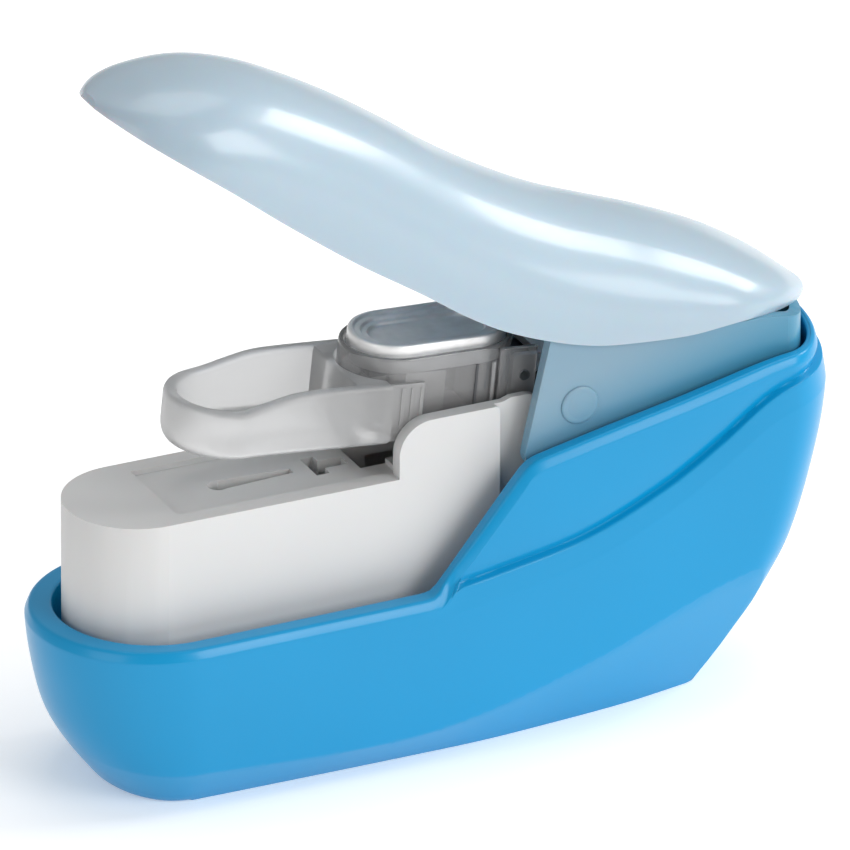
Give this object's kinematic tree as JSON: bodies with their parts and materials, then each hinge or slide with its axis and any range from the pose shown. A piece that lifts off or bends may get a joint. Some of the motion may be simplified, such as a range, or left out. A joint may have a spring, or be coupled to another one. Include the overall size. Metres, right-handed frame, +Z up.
{
  "type": "stapleless stapler",
  "caption": "Hand stapler that binds paper without staples: blue shell, white die frame, clear paper guide, punch and long raised lever.",
  "frame": {"origin": "on the flat underside of the shell, at the middle of the shell's length and width", "axes": "+Z up, -X towards the paper mouth and +X towards the lever hinge, Y across; the lever is raised at rest"},
  "size_m": [0.1064, 0.0322, 0.0955],
  "materials": {
    "shell_blue": "glossy blue moulded plastic",
    "frame_white": "satin white moulded plastic",
    "lever_tint": "pale blue translucent moulded plastic",
    "skirt_tint": "pale blue translucent moulded plastic, thinner",
    "guide_clear": "frosted clear plastic",
    "housing_smoke": "smoky clear plastic",
    "steel": "pressed steel, lightly brushed",
    "pin_steel": "ground and plated steel",
    "spring_steel": "drawn spring wire",
    "holder_grey": "dark grey moulded plastic",
    "bush": "natural acetal"
  },
  "bodies": {
    "base": {"base_shell": "shell_blue", "main_frame": "frame_white", "die_plate": "steel", "plate_screws": "pin_steel", "frame_screws": "pin_steel", "lever_pivot_pin": "pin_steel", "pivot_clips": "spring_steel", "arm_pivot_pin": "pin_steel", "arm_clips": "spring_steel", "return_spring": "spring_steel", "pusher_pin": "pin_steel", "pusher_collars": "bush", "pusher_spring": "spring_steel"},
    "lever": {"lever_cover": "lever_tint", "lever_skirt": "skirt_tint", "lever_bushes": "bush", "drive_pin": "pin_steel"},
    "arm": {"paper_guide": "guide_clear", "arm_housing": "housing_smoke", "arm_link": "steel", "arm_rivets": "pin_steel"},
    "punch": {"press_plate": "steel", "punch_holder": "holder_grey", "slit_blade": "steel", "tongue_cutter": "steel", "blade_pin": "pin_steel"},
    "pusher": {"flap_pusher": "steel"}
  },
  "joints": [
    {"name": "lever_hinge", "type": "hinge", "parent": "base", "child": "lever", "pos_m": [0.0415, 0, 0.036], "axis": [0, -1, 0], "range_deg": [0, 16], "stiffness_Nm_per_rad": 0.9, "springref_deg": -14.32, "deforming": ["return_spring"]},
    {"name": "arm_hinge", "type": "hinge", "parent": "base", "child": "arm", "pos_m": [0.028, 0, 0.041], "axis": [0, -1, 0], "range_deg": [0, 5.8]},
    {"name": "punch_slide", "type": "slide", "parent": "arm", "child": "punch", "axis": [-0.1011, 0, -0.9949], "range_m": [0, 0.00618]},
    {"name": "pusher_hinge", "type": "hinge", "parent": "base", "child": "pusher", "pos_m": [-0.0129, 0, 0.025], "axis": [0, -1, 0], "range_deg": [0, 16]}
  ],
  "couplings": [
    {"joint": "arm_hinge", "follows": "lever_hinge", "ratio": 0.3625},
    {"joint": "punch_slide", "follows": "lever_hinge", "m_per_rad": 0.022118},
    {"joint": "pusher_hinge", "follows": "lever_hinge", "ratio": 1}
  ]
}
